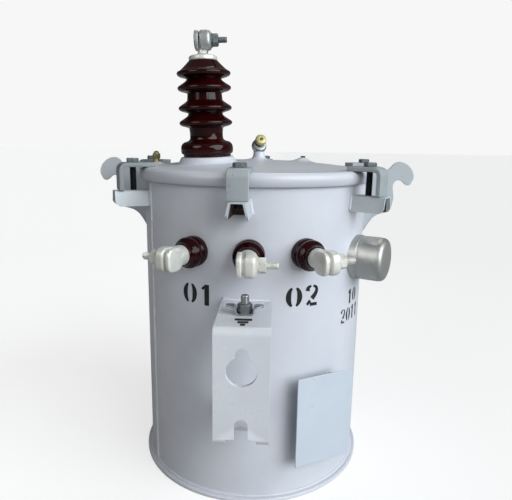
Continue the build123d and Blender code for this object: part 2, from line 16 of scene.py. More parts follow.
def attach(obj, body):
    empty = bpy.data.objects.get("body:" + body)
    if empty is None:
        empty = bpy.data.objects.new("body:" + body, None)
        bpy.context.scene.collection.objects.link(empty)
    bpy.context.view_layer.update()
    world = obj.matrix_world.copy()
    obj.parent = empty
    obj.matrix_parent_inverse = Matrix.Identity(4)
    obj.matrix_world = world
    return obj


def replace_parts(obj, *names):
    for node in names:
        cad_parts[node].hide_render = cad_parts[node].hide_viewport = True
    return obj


MM = 0.001
TURN = 2 * pi
DEGREES = 57.3
UP = np.array([0.0, 0.0, 1.0])
# Edges bent by more than these stay sharp, on made pieces and on copies of CAD nodes
SHARP, SHARP_COPY = radians(38), radians(30)

# Tank and cover: radii and heights
TANK = 200.0
TANK_TOP = 534.0
FLAT = 545.0
DOME = 186.0
DOME_TOP = 557.0
LIP = 210.0
LIP_FOOT = 523.0
LIP_TUCK = 4.5
ROLL = 10.0
SHEET = 3.0
SEAM_AZIMUTH = -58

# Tall bushing: the middle of its seat, its lean, the radius of the cover's pad under it, and
# heights along its own axis
HV = np.array([-80.7, -63.0, 563.0])
HV_LEAN = radians(2.8)
HV_PAD = 44.5
HV_TOP = 156.0
SHEDS = (56.0, 80.0, 112.0, 135.0)

# Short bushings: their height, and how far their porcelains reach
LV_AZIMUTHS = (-25.3, 0.0, 25.3)
LV_Z = 422.0
LV_FACE = 236.0

# Hanger bracket and the ground parts on its shelf
BRACKET_TOP = 350.0
BRACKET_FOOT = 179.5
BRACKET_X = -2.5
GROUND = np.array([-2.0, -262.0, 0.0])

# Clamps: azimuths, lug, strap and bolt
CLAMPS = {"front": -3.5, "right": 56.5, "rear_right": 109.5, "rear": 176.5, "rear_left": 250.0,
          "left": 296.5}
LUG_TOP = 507.0
LUG_HEIGHT = 26.0
LUG_FOOT = LUG_TOP - LUG_HEIGHT
LUG_END = 257.0
STRAP_END = 249.5
STRAP_TOP = 552.5
STRAP_WIDTH = 32.0
STRAP_THICKNESS = 7.5
BOLT = 224.3
PITCH = 1.75

# Fittings
VENT = np.array([6.0, -8.0, 0.0])
BOSS = np.array([90.0, 60.0, 0.0])
BOSS_TIP = 560.2
CAP_AZIMUTH = 63.0
CAP_REACH = 209.0
CAP_Z = 399.0
FILLER_AZIMUTH = -75.0
FILLER_REACH = 179.4

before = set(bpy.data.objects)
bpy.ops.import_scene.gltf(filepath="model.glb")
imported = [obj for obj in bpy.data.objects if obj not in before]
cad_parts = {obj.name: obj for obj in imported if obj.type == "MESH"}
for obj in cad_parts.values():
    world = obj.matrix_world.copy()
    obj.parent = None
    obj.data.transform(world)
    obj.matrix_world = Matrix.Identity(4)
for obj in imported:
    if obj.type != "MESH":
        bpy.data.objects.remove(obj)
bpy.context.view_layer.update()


# Vectors and outlines

def unit(vector):
    """A vector made one long."""
    vector = np.asarray(vector, float)
    return vector / np.linalg.norm(vector, axis=-1, keepdims=True)


def outward(azimuth):
    """The level direction away from the tank's axis."""
    return np.array([sin(radians(azimuth)), -cos(radians(azimuth)), 0.0])


def outwards(angle):
    """The level directions away from the tank's axis at many angles in radians."""
    return np.stack([np.sin(angle), -np.cos(angle), 0 * angle], 1)


def across(azimuth):
    """The level direction along the tank's wall."""
    return np.array([cos(radians(azimuth)), sin(radians(azimuth)), 0.0])


def softened(points, radius, closed=False, steps=5):
    """Rounds a line's corners: each becomes the curve (1-t)^2 a + 2t(1-t) p + t^2 b between
    points a and b on its two sides, a radius away or nearly half a side if that is less."""
    points = np.asarray(points, float)
    corner = points if closed else points[1:-1]
    before = np.roll(points, 1, 0) if closed else points[:-2]
    after = np.roll(points, -1, 0) if closed else points[2:]
    back, ahead = before - corner, after - corner
    reach_back = np.minimum(radius, 0.45 * np.linalg.norm(back, axis=1))[:, None]
    reach_ahead = np.minimum(radius, 0.45 * np.linalg.norm(ahead, axis=1))[:, None]
    a, b = corner + unit(back) * reach_back, corner + unit(ahead) * reach_ahead
    t = np.linspace(0, 1, steps)[None, :, None]
    curve = (1 - t) ** 2 * a[:, None] + 2 * t * (1 - t) * corner[:, None] + t**2 * b[:, None]
    curve = curve.reshape(-1, points.shape[1])
    return curve if closed else np.concatenate([points[:1], curve, points[-1:]])


def flowing(points):
    """A smooth line through points: the Catmull-Rom cubic in 7 steps between each pair."""
    points = np.asarray(points, float)
    before_first = 2 * points[:1] - points[1:2]
    after_last = 2 * points[-1:] - points[-2:-1]
    padded = np.concatenate([before_first, points, after_last])
    a, b, c, d = (padded[k : len(padded) - 3 + k, None] for k in range(4))
    t = np.linspace(0, 1, 7, endpoint=False)[None, :, None]
    line = 0.5 * (2 * b + (c - a) * t + (2 * a - 5 * b + 4 * c - d) * t**2
                  + (3 * b - a - 3 * c + d) * t**3)
    return np.concatenate([line.reshape(-1, points.shape[1]), points[-1:]])


def inset(outline, depth):
    """A closed outline moved inwards: each point goes along the mean of its sides' normals."""
    ahead = unit(np.roll(outline, -1, 0) - outline)
    back = unit(outline - np.roll(outline, 1, 0))
    normal = unit(np.stack([-(ahead + back)[:, 1], (ahead + back)[:, 0]], 1))
    after = np.roll(outline, -1, 0)
    area = np.sum(outline[:, 0] * after[:, 1] - outline[:, 1] * after[:, 0])
    return outline + normal * depth * np.sign(area)


def box_outline(width, height, radius):
    """A rectangle about its middle with rounded corners."""
    x, y = width / 2, height / 2
    return softened([(-x, -y), (x, -y), (x, y), (-x, y)], radius, closed=True)


# Meshes

def make_piece(name, points, faces, material):
    """A smooth piece with sharp edges, its faces turned outwards by the sign of its volume,
    riding on the body."""
    mesh = bpy.data.meshes.new(name)
    mesh.from_pydata((np.asarray(points) * MM).tolist(), [], faces)
    mesh.update()
    mesh.calc_loop_triangles()
    corners = np.empty(len(mesh.loop_triangles) * 3, np.int32)
    mesh.loop_triangles.foreach_get("vertices", corners)
    a, b, c = (np.asarray(points)[corners.reshape(-1, 3)[:, k]] for k in range(3))
    if np.einsum("ij,ij->", a, np.cross(b, c)) < 0:
        mesh.flip_normals()
    mesh.shade_smooth()
    mesh.set_sharp_from_angle(angle=SHARP)
    piece = bpy.data.objects.new(name, mesh)
    bpy.context.scene.collection.objects.link(piece)
    mesh.materials.append(material)
    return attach(piece, "root")


def grid_faces(rows, columns, loop_rows=False):
    """Four-sided faces between neighbouring rows of points. Each row is a ring, and with
    loop_rows the last row joins the first."""
    index = np.arange(rows * columns).reshape(rows, columns)
    right = np.roll(index, -1, 1)
    down, down_right = np.roll(index, -1, 0), np.roll(right, -1, 0)
    quads = np.stack([index, right, down_right, down], 2)[: rows if loop_rows else rows - 1]
    return quads.reshape(-1, 4).tolist()


def grid_piece(name, rows, material, loop_rows=False):
    """A closed piece from rows of points: each row is a ring, and unless the rows join up
    too, the first and last are closed by a flat face."""
    count, columns = rows.shape[:2]
    faces = grid_faces(count, columns, loop_rows)
    if not loop_rows:
        last = (count - 1) * columns
        faces += [list(range(columns)), list(range(last + columns - 1, last - 1, -1))]
    return make_piece(name, rows.reshape(-1, 3), faces, material)


def turned_rows(radius, height, base, axis, columns):
    """Rings about an axis: radius may vary with the angle as well as with the row. The angle
    starts square to the axis and to Z, or to X where the axis stands nearly upright."""
    axis = unit(axis)
    helper = UP if abs(axis[2]) < 0.9 else np.array([1.0, 0.0, 0.0])
    side = unit(np.cross(helper, axis))
    other = np.cross(axis, side)
    angle = np.linspace(0, TURN, columns, endpoint=False)
    spoke = np.cos(angle)[:, None] * side + np.sin(angle)[:, None] * other
    radius = np.broadcast_to(radius, (len(height), columns))
    return base + height[:, None, None] * axis + radius[:, :, None] * spoke[None]


def lathe(name, profile, base, axis, material, columns=96, power=2.0):
    """A turned piece: a profile of (radius, height) points goes round an axis. Each ring is
    the curve |x|^power + |y|^power = radius^power: a circle at 2, a rounded square above it."""
    radius, height = np.asarray(profile, float).T
    angle = np.linspace(0, TURN, columns, endpoint=False)
    ring = (np.abs(np.cos(angle)) ** power + np.abs(np.sin(angle)) ** power) ** (-1 / power)
    rows = turned_rows(np.maximum(radius, 0.05)[:, None] * ring, height, base, axis, columns)
    return grid_piece(name, rows, material)


def hex_nut(name, width, height, base, axis, material):
    """A six-sided nut: the hexagon's radius is w/2 / cos(angle from the flat's middle), held
    within a cone at each end, which gives the curved chamfers."""
    columns = 96
    angle = np.linspace(0, TURN, columns, endpoint=False)
    flat = np.mod(angle + pi / 6, pi / 3) - pi / 6
    hexagon = width / 2 / np.cos(flat)
    depth = np.array([0, 0.25, 0.5, 0.9, 1.4, 2.0])
    z = np.concatenate([depth, height - depth[::-1]])
    edge = np.minimum(z, height - z)
    radius = np.minimum(hexagon[None], width * 0.475 + 1.7 * edge[:, None])
    rows = turned_rows(radius, z, base, axis, columns)
    return grid_piece(name, rows, material)


def threaded_rod(name, radius, length, base, axis, material):
    """A screw: its radius falls and rises with the fraction of z/pitch - angle/turn, and it
    narrows to a chamfer at its end."""
    columns = 48
    angle = np.linspace(0, 1, columns, endpoint=False)
    z = np.linspace(0, length, int(length / PITCH * 8))
    wave = np.abs(np.mod(z[:, None] / PITCH - angle[None], 1) - 0.5) * 2
    end = np.clip((length - z) / (PITCH * 1.1), 0, 1)[:, None]
    groove = 0.55 * PITCH * wave
    radius = radius - groove * end - (1 - end) * radius * 0.18
    return grid_piece(name, turned_rows(radius, z, base, axis, columns), material)


def swept(name, path, outline, side, material, soft, taper=0.0):
    """An outline carried along a path: its first number goes along side and its second
    square to side and path. Both ends are rounded over by soft. Along side it narrows by
    taper times the fourth power of the distance from the path's middle, from 0 to 1."""
    path = np.asarray(path, float)
    ahead = unit(np.gradient(path, axis=0))
    first, last = path[0] + ahead[0] * soft, path[-1] - ahead[-1] * soft
    path = np.concatenate([path[:1], first[None], path[1:-1], last[None], path[-1:]])
    ahead = np.concatenate([ahead[:1], ahead[:1], ahead[1:-1], ahead[-1:], ahead[-1:]])
    lift = unit(np.cross(side, ahead))
    small = inset(outline, soft)
    ends = (0, len(path) - 1)
    rows = np.stack([small if k in ends else outline for k in range(len(path))])
    rows[:, :, 0] *= 1 - taper * np.linspace(-1, 1, len(path))[:, None] ** 4
    rows = path[:, None] + rows[:, :, :1] * side + rows[:, :, 1:] * lift[:, None]
    return grid_piece(name, rows, material)


def slab(name, outline, thickness, origin, right, up, material, soft):
    """A flat plate: its outline stands square to the plate, and each edge rounds over a
    quarter turn, moving in by soft (1 - cos) as it rises by soft sin."""
    outline = np.asarray(outline, float)
    normal = np.cross(right, up)
    turn = np.linspace(pi / 2, 0, 4)
    depth = np.concatenate([soft * (1 - np.cos(turn)), soft * (1 - np.cos(turn[::-1]))])
    rise = thickness / 2 - soft + soft * np.sin(turn)
    rise = np.concatenate([-rise, rise[::-1]])
    rings = np.stack([inset(outline, d) for d in depth])
    rows = origin + rings[:, :, :1] * right + rings[:, :, 1:] * up + rise[:, None, None] * normal
    return grid_piece(name, rows, material)


def weld_bead(name, path, material, width, height, ripple=3.0, closed=False):
    """A weld: an oval carried along a path, whose size swells by 12 percent every ripple
    and wanders slowly. Half of it lies inside the metal."""
    path = np.asarray(path, float)
    step = np.linalg.norm(np.diff(path, axis=0), axis=1)
    run = np.concatenate([[0], np.cumsum(step)])
    size = 1 + 0.12 * np.sin(TURN * run / ripple) + 0.08 * np.sin(TURN * run / 41 + 1)
    ahead = unit(np.gradient(path, axis=0))
    out = unit(path * (1, 1, 0))
    side = unit(np.cross(ahead, out))
    out = np.cross(side, ahead)
    angle = np.linspace(0, TURN, 12, endpoint=False)
    oval = (np.cos(angle)[:, None, None] * side * width
            + np.sin(angle)[:, None, None] * out * height)
    rows = path[:, None] + np.swapaxes(oval, 0, 1) * size[:, None, None]
    return grid_piece(name, rows, material, loop_rows=closed)


def eased_copy(node, name, width, material, segments=3):
    """A copy of a CAD node with its doubles merged and its edges rounded over by width."""
    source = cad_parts[node]
    mesh = source.data.copy()
    mesh.name = name
    mesh.materials.clear()
    mesh.materials.append(material)
    piece = bpy.data.objects.new(name, mesh)
    bpy.context.scene.collection.objects.link(piece)
    shape = bmesh.new()
    shape.from_mesh(mesh)
    bmesh.ops.remove_doubles(shape, verts=shape.verts, dist=1e-6)
    bmesh.ops.dissolve_limit(shape, angle_limit=radians(1), verts=shape.verts,
                             edges=shape.edges)
    shape.to_mesh(mesh)
    shape.free()
    if mesh.attributes.get("custom_normal"):
        mesh.attributes.remove(mesh.attributes["custom_normal"])
    mesh.shade_smooth()
    mesh.set_sharp_from_angle(angle=SHARP_COPY)
    bevel = piece.modifiers.new("edge", "BEVEL")
    bevel.width = width * MM
    bevel.segments = segments
    bevel.limit_method = "ANGLE"
    bevel.angle_limit = SHARP_COPY
    bevel.harden_normals = False
    bevel.miter_outer = "MITER_ARC"
    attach(piece, "root")
    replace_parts(piece, node)
    return piece


# Materials

def linear(code):
    """An sRGB hex colour as linear red, green, blue and alpha."""
    value = np.array([int(code[k : k + 2], 16) for k in (1, 3, 5)]) / 255
    value = np.where(value <= 0.04045, value / 12.92, ((value + 0.055) / 1.055) ** 2.4)
    return (*value.tolist(), 1.0)


def add(tree, kind, links=None, **settings):
    """Adds a node with its settings, by attribute or socket name, and its links."""
    made = tree.nodes.new(kind)
    for key, value in settings.items():
        if hasattr(made, key):
            setattr(made, key, value)
        else:
            made.inputs[key.replace("_", " ")].default_value = value
    for key, socket in (links or {}).items():
        name = int(key) if key.isdigit() else key.replace("_", " ")
        tree.links.new(socket, made.inputs[name])
    return made


# The colour of the dirt specks
DIRT = "#4C4740"
# How much of the clouds' range, about its middle, lies between a finish's two colours
SPREAD = 0.35
# A colour mix has its two colours in these sockets, and gives the mixed one in MIXED
FIRST_COLOUR, SECOND_COLOUR, MIXED = 6, 7, 2


def finish_material(name, light, dark, rough, grain, depth, patch=9.0, metallic=0.0,
                    stretch=(1, 1, 1), turn=0.0, coat=0.0, specks=0.0, shine=0.5):
    """A surface finish. Its colour wanders between two hex values over patches, its roughness
    between two numbers, and its grain lifts it by depth. patch and grain are per metre."""
    material = bpy.data.materials.new(name)
    material.use_nodes = True
    tree = material.node_tree
    tree.nodes.clear()
    place = add(tree, "ShaderNodeTexCoord").outputs["Object"]
    laid = add(tree, "ShaderNodeMapping", {"Vector": place}, Rotation=(0, 0, turn),
               Scale=stretch).outputs["Vector"]
    clouds = add(tree, "ShaderNodeTexNoise", {"Vector": place}, Scale=patch, Detail=4.0,
                 Roughness=0.6).outputs["Fac"]
    fine = add(tree, "ShaderNodeTexNoise", {"Vector": laid}, Scale=grain, Detail=2.0)
    share = add(tree, "ShaderNodeMapRange", {"Value": clouds}, From_Min=0.5 - SPREAD / 2,
                From_Max=0.5 + SPREAD / 2)
    colour = add(tree, "ShaderNodeMix", {"Factor": share.outputs["Result"]}, data_type="RGBA")
    colour.inputs[FIRST_COLOUR].default_value = linear(light)
    colour.inputs[SECOND_COLOUR].default_value = linear(dark)
    shown = colour.outputs[MIXED]
    if specks:
        dots = add(tree, "ShaderNodeTexNoise", {"Vector": place}, Scale=240.0, Detail=1.0)
        spots = add(tree, "ShaderNodeMapRange", {"Value": dots.outputs["Fac"]}, From_Min=0.7,
                    From_Max=0.76, To_Max=specks)
        dirty = add(tree, "ShaderNodeMix",
                    {"Factor": spots.outputs["Result"], str(FIRST_COLOUR): shown},
                    data_type="RGBA")
        dirty.inputs[SECOND_COLOUR].default_value = linear(DIRT)
        shown = dirty.outputs[MIXED]
    gloss = add(tree, "ShaderNodeMapRange", {"Value": clouds}, From_Min=0.3, From_Max=0.7,
                To_Min=rough[0], To_Max=rough[1])
    bump = add(tree, "ShaderNodeBump", {"Height": fine.outputs["Fac"]}, Strength=depth,
               Distance=0.001)
    shader = add(tree, "ShaderNodeBsdfPrincipled",
                 {"Base_Color": shown, "Roughness": gloss.outputs["Result"],
                  "Normal": bump.outputs["Normal"]},
                 Metallic=metallic, Coat_Weight=coat, Specular_IOR_Level=shine)
    if coat:
        shader.inputs["Coat Roughness"].default_value = 0.03
    add(tree, "ShaderNodeOutputMaterial", {"Surface": shader.outputs["BSDF"]})
    return material


# Sprayed enamel on steel sheet: pale grey with a lilac cast, semi-gloss, faint orange peel
ENAMEL = finish_material("sprayed_grey_enamel", "#CBCED6", "#C3C6CF", (0.30, 0.42),
                         grain=420.0, depth=0.035)
# The same enamel brushed on the hooks and lugs: a little darker and greener, with brush drag
BRUSHED_ENAMEL = finish_material("brushed_grey_enamel", "#BCC3C8", "#B0B7BD", (0.34, 0.48),
                                 grain=300.0, depth=0.06, stretch=(1, 1, 3), specks=0.15)
# The same enamel laid on thick, so that its skin is glossy, on the bracket and the welds. Its
# colour is a shade
# lighter than the plain enamel: a painted highlight, most of all along the seam and the welds
GLOSSY_HIGHLIGHT_ENAMEL = finish_material("glossy_highlight_enamel", "#D0D3DA", "#C8CBD3", (0.24, 0.34),
                               grain=420.0, depth=0.03, coat=0.6)
# Bluer enamel on the separate plate, smooth all over
BLUE_ENAMEL = finish_material("blue_grey_enamel", "#C2CAD5", "#BBC4D0", (0.26, 0.36),
                              grain=420.0, depth=0.03)
# Enamel on the pressed clamps, greyer and flatter, as dipped parts are
CLAMP_ENAMEL = finish_material("dipped_clamp_enamel", "#9FA7AA", "#929A9E", (0.38, 0.52),
                               grain=500.0, depth=0.05, specks=0.3)
# The same with more dirt specks and a rougher skin, its colour darker as painted shade, on the
# clamps of the left side
SHADED_CLAMP_ENAMEL = finish_material("shaded_clamp_enamel", "#82898C", "#757D81", (0.42, 0.56),
                             grain=500.0, depth=0.06, specks=0.4)
# Fired glaze on porcelain: almost black maroon, mirror-smooth, with slow ripples
TALL_GLAZE = finish_material("black_maroon_glaze", "#2C0505", "#1A0202", (0.05, 0.10),
                             grain=60.0, depth=0.03, patch=30.0, shine=0.24)
# The short porcelains' glaze, a little rougher, with a weaker shine
SHORT_GLAZE = finish_material("maroon_glaze", "#280408", "#190204", (0.06, 0.12),
                              grain=60.0, depth=0.03, patch=30.0, shine=0.18)
# Tin-plated cast bronze: soft white metal with a sandy skin
TINNED = finish_material("tinned_casting", "#E4E4DE", "#CFCFC8", (0.38, 0.52), grain=900.0,
                         depth=0.18, patch=60.0, metallic=0.42, specks=0.35)
# The same plating gone grey on the highest terminal, where the weather reaches it
GREY_TIN = finish_material("weathered_tin", "#B3B6B6", "#8F9393", (0.36, 0.5), grain=900.0,
                           depth=0.16, patch=60.0, metallic=0.6)
# Zinc-plated steel hardware: darker grey, brushed by handling
ZINC = finish_material("zinc_plate", "#A9ADB0", "#8B9093", (0.28, 0.42), grain=900.0,
                       depth=0.08, patch=120.0, metallic=0.9)
# Zinc gone dull and dark on the clamps' nuts and the highest terminal's nut and screw
DARK_ZINC = finish_material("dulled_zinc", "#8B9396", "#636A6D", (0.42, 0.58), grain=900.0,
                            depth=0.1, patch=140.0, metallic=0.7)
# Blackened steel bolts
BLACK_STEEL = finish_material("blackened_steel", "#2A2F33", "#1C2023", (0.35, 0.5),
                              grain=800.0, depth=0.08, patch=90.0, metallic=0.6)
# Spun aluminium: fine rings round the cap's axis, drawn about 0.6 mm wide so that they show
SPUN = finish_material("spun_aluminium", "#C4C5C2", "#B4B5B2", (0.42, 0.50), grain=1.0,
                       depth=0.08, patch=25.0, metallic=1.0, stretch=(1500, 12, 12),
                       turn=radians(90 - CAP_AZIMUTH))
# Turned brass, dulled outdoors
BRASS = finish_material("dull_brass", "#D0C795", "#AEA472", (0.36, 0.5), grain=900.0,
                        depth=0.08, patch=150.0, metallic=0.65)
# Brass that has gone olive brown out in the rain
AGED_BRASS = finish_material("aged_brass", "#9A9266", "#6B6546", (0.4, 0.55), grain=900.0,
                             depth=0.12, patch=170.0, metallic=0.6)
# Rust and painted shade: matt red-brown flakes with darker pits, in the pocket under a lug where
# water stays and shade falls
RUST_AND_SHADE = finish_material("pocket_rust_and_shade", "#6B5D52", "#2F2622", (0.8, 0.95), grain=600.0,
                       depth=0.4, patch=110.0)
# Moulded rubber gasket: nearly black and matt
RUBBER = finish_material("black_rubber", "#1D1D1E", "#151516", (0.6, 0.75), grain=1200.0,
                         depth=0.1, patch=60.0)
# Stencil ink, matt black, rolled over the enamel
INK = finish_material("stencil_ink", "#090A0C", "#121316", (0.75, 0.9), grain=900.0,
                      depth=0.05, patch=200.0)


def paint_node(node, material):
    """Gives a CAD node that stays its finish."""
    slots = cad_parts[node].data.materials
    slots.clear()
    slots.append(material)


# Camera, floor and light

CAMERA_SPOT = (0.03555, -0.9253, 0.585)
CAMERA_YAW, CAMERA_DOWN, CAMERA_ROLL = radians(-2.0), radians(12.09), radians(0.92)
LENS = 34.74
# The floor's glow for the camera at its left and right, and how much of it is left far away
FLOOR_GLOW = (0.67, 0.60)
FAR_GLOW = 0.93
# Fill light from the left, from the right, and what is added overhead
FILL_LEFT, FILL_RIGHT, FILL_ABOVE = 0.12, 0.32, 0.16
# How much of the fill shows in mirrored light, so that glaze stays dark
FILL_MIRRORED = 0.55
# Windows in the fill: direction, cosines of their outer and inner edges, strength in plain
# light, and what mirrored light adds
WINDOWS = (((-0.60, -0.66, 0.45), (0.92, 0.98), 1.0, 2.6),
           ((0.05, 0.48, 0.875), (0.978, 0.992), 0.0, 4.0))


def stand(name, data, right, above, ahead, spot):
    """An object for a camera or lamp that looks ahead from a spot, in metres."""
    made = bpy.data.objects.new(name, data)
    bpy.context.scene.collection.objects.link(made)
    place = np.eye(4)
    place[:3, :3] = np.stack([right, above, -ahead], 1)
    place[:3, 3] = spot
    made.matrix_world = Matrix(place.tolist())
    return made


def set_camera():
    """The photograph's camera: a little above the cover, tipped down 12 degrees. Colours are
    shown as they are, with no film look."""
    yaw, down, roll = CAMERA_YAW, CAMERA_DOWN, CAMERA_ROLL
    ahead = np.array([sin(yaw) * cos(down), cos(yaw) * cos(down), -sin(down)])
    right = np.array([cos(yaw), -sin(yaw), 0.0])
    above = np.cross(right, ahead)
    turned_right = cos(roll) * right + sin(roll) * above
    turned_above = -sin(roll) * right + cos(roll) * above
    data = bpy.data.cameras.new("camera")
    data.sensor_width = 36.0
    data.lens = LENS
    camera = stand("camera", data, turned_right, turned_above, ahead, CAMERA_SPOT)
    bpy.context.scene.camera = camera
    bpy.context.scene.view_settings.view_transform = "Standard"
    bpy.context.scene.view_settings.look = "None"


def set_floor():
    """A plain pale floor. It glows for the camera only, so it lights nothing, and that glow
    falls off from the left to the right and away from the tank."""
    mesh = bpy.data.meshes.new("floor")
    far = 40.0
    corners = [(-far, -far, 0), (far, -far, 0), (far, far, 0), (-far, far, 0)]
    mesh.from_pydata(corners, [], [(0, 1, 2, 3)])
    floor = bpy.data.objects.new("floor", mesh)
    bpy.context.scene.collection.objects.link(floor)
    pale = bpy.data.materials.new("pale_floor")
    pale.use_nodes = True
    tree = pale.node_tree
    shader = tree.nodes["Principled BSDF"]
    shader.inputs["Base Color"].default_value = (0.40, 0.40, 0.40, 1)
    shader.inputs["Roughness"].default_value = 0.9
    shader.inputs["Specular IOR Level"].default_value = 0.1
    shader.inputs["Emission Color"].default_value = (1, 1, 1, 1)
    place = add(tree, "ShaderNodeTexCoord").outputs["Object"]
    part = add(tree, "ShaderNodeSeparateXYZ", {"Vector": place})
    glow = add(tree, "ShaderNodeMapRange", {"Value": part.outputs["X"]}, From_Min=-0.5,
               From_Max=0.5, To_Min=FLOOR_GLOW[0], To_Max=FLOOR_GLOW[1]).outputs["Result"]
    path = add(tree, "ShaderNodeLightPath").outputs["Is Camera Ray"]
    span = add(tree, "ShaderNodeVectorMath", {"0": place}, operation="LENGTH")
    fade = add(tree, "ShaderNodeMapRange", {"Value": span.outputs["Value"]}, From_Min=0.3,
               From_Max=2.0, To_Min=1.0, To_Max=FAR_GLOW).outputs["Result"]
    shown = add(tree, "ShaderNodeMath", {"0": fade, "1": glow}, operation="MULTIPLY")
    lit = add(tree, "ShaderNodeMath", {"0": path, "1": shown.outputs[0]}, operation="MULTIPLY")
    tree.links.new(lit.outputs[0], shader.inputs["Emission Strength"])
    mesh.materials.append(pale)


def set_world():
    """An even pale world. The camera sees it plain, and the object gets a fill light from it
    that is stronger from the right and from above, with two soft windows."""
    world = bpy.data.worlds.new("studio")
    bpy.context.scene.world = world
    world.use_nodes = True
    tree = world.node_tree
    tree.nodes.clear()
    facing = add(tree, "ShaderNodeTexCoord").outputs["Generated"]
    part = add(tree, "ShaderNodeSeparateXYZ", {"Vector": facing})
    slope = add(tree, "ShaderNodeMapRange", {"Value": part.outputs["X"]}, From_Min=-0.9,
                From_Max=0.8, To_Min=FILL_LEFT, To_Max=FILL_RIGHT,
                interpolation_type="SMOOTHSTEP").outputs["Result"]
    above = add(tree, "ShaderNodeMapRange", {"Value": part.outputs["Z"]}, From_Min=0.3,
                From_Max=1.0, To_Max=FILL_ABOVE).outputs["Result"]
    sky = add(tree, "ShaderNodeMath", {"0": slope, "1": above}, operation="ADD").outputs[0]
    ray = add(tree, "ShaderNodeLightPath").outputs
    dim = add(tree, "ShaderNodeMapRange", {"Value": ray["Is Glossy Ray"]}, To_Min=1.0,
              To_Max=FILL_MIRRORED).outputs["Result"]
    light = add(tree, "ShaderNodeMath", {"0": sky, "1": dim}, operation="MULTIPLY").outputs[0]
    for toward, (outer, inner), plain, mirrored in WINDOWS:
        near = add(tree, "ShaderNodeVectorMath", {"0": facing}, operation="DOT_PRODUCT")
        near.inputs[1].default_value = toward
        patch = add(tree, "ShaderNodeMapRange", {"Value": near.outputs["Value"]},
                    From_Min=outer, From_Max=inner,
                    interpolation_type="SMOOTHSTEP").outputs["Result"]
        power = add(tree, "ShaderNodeMapRange", {"Value": ray["Is Glossy Ray"]}, To_Min=plain,
                    To_Max=plain + mirrored).outputs["Result"]
        shine = add(tree, "ShaderNodeMath", {"0": patch, "1": power}, operation="MULTIPLY")
        light = add(tree, "ShaderNodeMath", {"0": light, "1": shine.outputs[0]},
                    operation="ADD").outputs[0]
    fill = add(tree, "ShaderNodeBackground", {"Strength": light}, Color=(1.0, 0.985, 0.965, 1))
    seen = add(tree, "ShaderNodeBackground", Color=(0.93, 0.93, 0.93, 1), Strength=1.0)
    both = add(tree, "ShaderNodeMixShader",
               {"Fac": ray["Is Camera Ray"], "1": fill.outputs[0], "2": seen.outputs[0]})
    add(tree, "ShaderNodeOutputWorld", {"Surface": both.outputs[0]})


def lamp(name, kind, energy, colour, azimuth, height, reach, size):
    """A lamp that looks at the tank's middle from a height and reach in metres. size is a
    sun's angle or a panel's two sides."""
    data = bpy.data.lights.new(name, kind)
    data.energy = energy
    data.color = colour
    if kind == "SUN":
        data.angle = size
    else:
        data.shape = "RECTANGLE"
        data.size, data.size_y = size
    spot = outward(azimuth) * reach + UP * height
    toward = unit(np.array([0, 0, 0.4]) - spot)
    side = unit(np.cross(toward, UP))
    stand(name, data, side, np.cross(side, toward), toward, spot)


def set_lamps():
    """A wide soft bluish key light from the right and a faint window beside the camera."""
    lamp("key", "SUN", 3.15, (0.90, 0.965, 1.0), 57, 1.6, 2.6, radians(52))
    lamp("window", "AREA", 6, (1.0, 0.99, 0.97), 22, 1.5, 2.2, (0.5, 0.8))


# Tank and cover

# Half a numeral's width and height
HALF_WIDE, HALF_HIGH = 9.0, 15.0
# Degrees round the tank from one numeral to the next, before the scale
NUMERAL_STEP = 8.7
SIDE_ARC = np.linspace(radians(22), radians(158), 24)
# Plain numerals in stencil strokes, each a line of (along, up) points with its width there
STROKES = {
    "0": [(np.stack([hand * HALF_WIDE * np.sin(SIDE_ARC), HALF_HIGH * np.cos(SIDE_ARC)], 1),
           2.4 + 6.0 * np.sin(SIDE_ARC) ** 2) for hand in (-1, 1)],
    "1": [(np.linspace((0.5, 16), (0.5, -16), 9), np.full(9, 8.0)),
          (np.linspace((-7.5, 8.5), (-3.6, 13), 5), np.full(5, 4.0))],
    "2": [(flowing([(-8.5, 7.5), (-6.8, 12.8), (-2.0, 15.2)]), np.linspace(7.5, 3.0, 15)),
          (flowing([(1.8, 15.2), (7.0, 12.0), (7.8, 6.5), (4.6, 0.5), (-0.4, -5.0)]),
           np.linspace(3.4, 8.0, 29)),
          (flowing([(-3.2, -8.2), (-6.0, -11.0), (-8.6, -14.4)]), np.linspace(6.0, 4.0, 15)),
          (np.linspace((-3.5, -14.2), (9.0, -14.2), 7), np.full(7, 5.0))],
}
# Each line: place, digits, first digit's azimuth, height, and scale along and up
STENCILS = [("left", "01", -28.1, 353.0, (1.0, 1.06)), ("right", "02", 20.6, 353.0, (1.05, 1.04)),
            ("far", "10", 57.8, 332.5, (0.64, 0.78)), ("far_low", "2011", 51.6, 301.5, (0.6, 0.78))]


def tank():
    """The CAD tank stays; the seam, the foot weld and the stencilled numbers are added."""
    for node in ("tank_wall", "tank_bottom", "cover_gasket"):
        paint_node(node, RUBBER if node == "cover_gasket" else ENAMEL)
    z = np.arange(8, LIP_FOOT - 4, 0.8)
    seam = outward(SEAM_AZIMUTH)[None] * (TANK - 0.2) + z[:, None] * UP
    # The seam takes the lighter glossy enamel: a painted highlight along its bead
    weld_bead("tank_seam", seam, GLOSSY_HIGHLIGHT_ENAMEL, 2.8, 2.4, ripple=2.6)
    angle = np.linspace(0, TURN, 1500, endpoint=False)
    foot = outwards(angle) * (TANK + 0.5) + UP * 7.0
    weld_bead("tank_foot_weld", foot, ENAMEL, 2.6, 2.2, ripple=3.4, closed=True)
    for place, digits, azimuth, height, size in STENCILS:
        for step, digit in enumerate(digits):
            turn = azimuth + step * NUMERAL_STEP * size[0]
            for number, (line, width) in enumerate(STROKES[digit]):
                name = f"stencil_{place}_{step}_{number}"
                stencil_stroke(name, line * size, width * size[0], turn, height)


